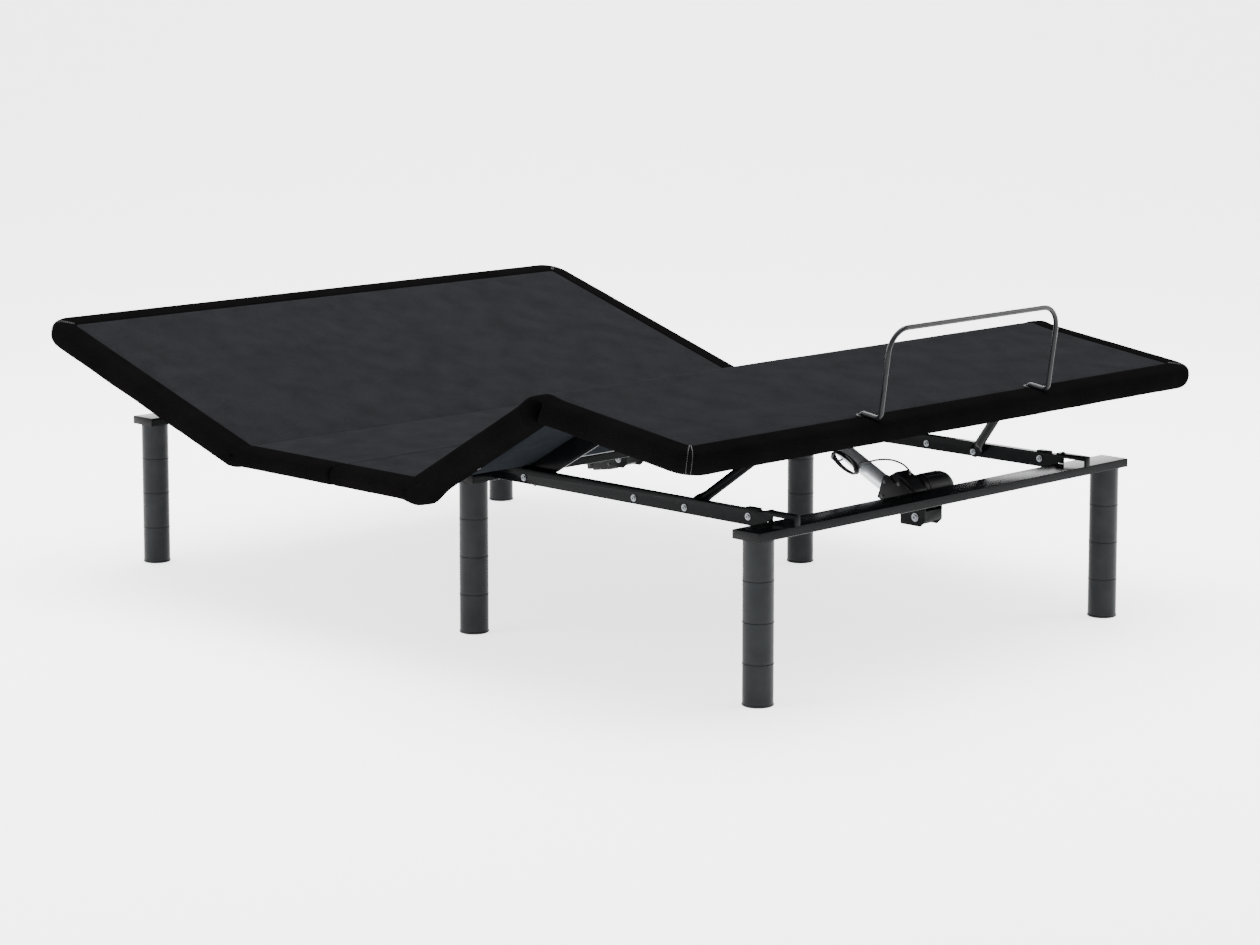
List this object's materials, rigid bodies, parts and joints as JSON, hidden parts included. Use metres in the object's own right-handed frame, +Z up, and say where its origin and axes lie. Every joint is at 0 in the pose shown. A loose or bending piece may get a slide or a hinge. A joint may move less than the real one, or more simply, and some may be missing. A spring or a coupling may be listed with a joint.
{
  "type": "adjustable bed base",
  "caption": "Adjustable bed base: hinged padded deck with raised head and knee sections, retainer bar, actuators and screw-in legs on a steel frame.",
  "frame": {"origin": "centre of the bounding box of the rest pose, on the floor", "axes": "+X across the width, +Y toward the head end, +Z up"},
  "size_m": [1.5, 1.947, 0.6659],
  "materials": {
    "leg_finish": "satin graphite paint",
    "frame_paint": "satin black paint",
    "bright_steel": "zinc-plated steel",
    "retainer_finish": "satin black paint",
    "cover_cloth": "dark grey woven cloth with dark border",
    "deck_board": "board faced with dark cloth",
    "black_plastic": "matte black",
    "tube_aluminium": "satin anodised",
    "lead_jacket": "matte black"
  },
  "bodies": {
    "frame": {"leg_foot_left_section_1": "leg_finish", "leg_foot_left_section_2": "leg_finish", "leg_foot_left_section_3": "leg_finish", "leg_foot_left_section_4": "leg_finish", "leg_foot_right_section_1": "leg_finish", "leg_foot_right_section_2": "leg_finish", "leg_foot_right_section_3": "leg_finish", "leg_foot_right_section_4": "leg_finish", "leg_middle_left_section_1": "leg_finish", "leg_middle_left_section_2": "leg_finish", "leg_middle_left_section_3": "leg_finish", "leg_middle_left_section_4": "leg_finish", "leg_middle_right_section_1": "leg_finish", "leg_middle_right_section_2": "leg_finish", "leg_middle_right_section_3": "leg_finish", "leg_middle_right_section_4": "leg_finish", "leg_head_left_section_1": "leg_finish", "leg_head_left_section_2": "leg_finish", "leg_head_left_section_3": "leg_finish", "leg_head_left_section_4": "leg_finish", "leg_head_right_section_1": "leg_finish", "leg_head_right_section_2": "leg_finish", "leg_head_right_section_3": "leg_finish", "leg_head_right_section_4": "leg_finish", "foot_crossbar": "frame_paint", "middle_crossbar": "frame_paint", "head_crossbar": "frame_paint", "left_side_rail": "frame_paint", "right_side_rail": "frame_paint", "thigh_hinge_rod": "bright_steel", "head_hinge_rod": "bright_steel", "seat_pad_foot": "cover_cloth", "seat_pad_head": "cover_cloth", "seat_board_foot": "deck_board", "seat_board_head": "deck_board", "knee_actuator_bracket": "frame_paint", "head_actuator_bracket": "frame_paint", "control_box": "black_plastic"},
    "head_section": {"head_pad": "cover_cloth", "head_board": "deck_board", "head_frame": "frame_paint"},
    "thigh_section": {"thigh_pad": "cover_cloth", "thigh_board": "deck_board", "thigh_frame": "frame_paint"},
    "foot_section": {"foot_pad": "cover_cloth", "foot_board": "deck_board", "foot_frame": "frame_paint", "mattress_retainer_bar": "retainer_finish"},
    "left_link": {"left_foot_link": "frame_paint"},
    "right_link": {"right_foot_link": "frame_paint"},
    "head_drive": {"head_gearbox": "black_plastic", "head_motor": "black_plastic", "head_outer_tube": "tube_aluminium"},
    "head_stem": {"head_rod": "bright_steel"},
    "knee_drive": {"knee_gearbox": "black_plastic", "knee_motor": "black_plastic", "knee_outer_tube": "tube_aluminium", "motor_lead": "lead_jacket"},
    "knee_stem": {"knee_rod": "bright_steel"}
  },
  "joints": [
    {"name": "head_lift", "type": "hinge", "parent": "frame", "child": "head_section", "pos_m": [0, 0.31699, 0.342], "axis": [1, 0, 0], "range_deg": [-16.8, 42.5]},
    {"name": "thigh_lift", "type": "hinge", "parent": "frame", "child": "thigh_section", "pos_m": [0, -0.20401, 0.342], "axis": [-1, 0, 0], "range_deg": [-29.1, 7]},
    {"name": "knee_fold", "type": "hinge", "parent": "thigh_section", "child": "foot_section", "pos_m": [0, -0.5507, 0.50483], "axis": [-1, 0, 0], "range_deg": [-9.46, 37.75]},
    {"name": "left_link_swing", "type": "hinge", "parent": "frame", "child": "left_link", "pos_m": [-0.427, -0.64901, 0.32], "axis": [-1, 0, 0], "range_deg": [-52.88, 13.1]},
    {"name": "right_link_swing", "type": "hinge", "parent": "frame", "child": "right_link", "pos_m": [0.394, -0.64901, 0.32], "axis": [-1, 0, 0], "range_deg": [-52.88, 13.1]},
    {"name": "knee_drive_tilt", "type": "hinge", "parent": "frame", "child": "knee_drive", "pos_m": [-0.01, -0.85401, 0.272], "axis": [1, 0, 0], "range_deg": [-19.41, 5.05]},
    {"name": "knee_stem_slide", "type": "slide", "parent": "knee_drive", "child": "knee_stem", "axis": [0, 0.8957, 0.4446], "range_m": [-0.07666, 0.0192]},
    {"name": "head_drive_tilt", "type": "hinge", "parent": "frame", "child": "head_drive", "pos_m": [-0.01, -0.05701, 0.285], "axis": [1, 0, 0], "range_deg": [-1.17, 2.2]},
    {"name": "head_stem_slide", "type": "slide", "parent": "head_drive", "child": "head_stem", "axis": [0, 0.9924, -0.1233], "range_m": [-0.03023, 0.07495]}
  ],
  "couplings": [
    {"joint": "knee_fold", "follows": "thigh_lift", "ratio": -1.28},
    {"joint": "left_link_swing", "follows": "thigh_lift", "ratio": 1.8},
    {"joint": "right_link_swing", "follows": "thigh_lift", "ratio": 1.8},
    {"joint": "knee_drive_tilt", "follows": "thigh_lift", "ratio": 0.65},
    {"joint": "knee_stem_slide", "follows": "thigh_lift", "m_per_rad": 0.14897},
    {"joint": "head_drive_tilt", "follows": "head_lift", "ratio": 0.04},
    {"joint": "head_stem_slide", "follows": "head_lift", "m_per_rad": 0.099695}
  ]
}
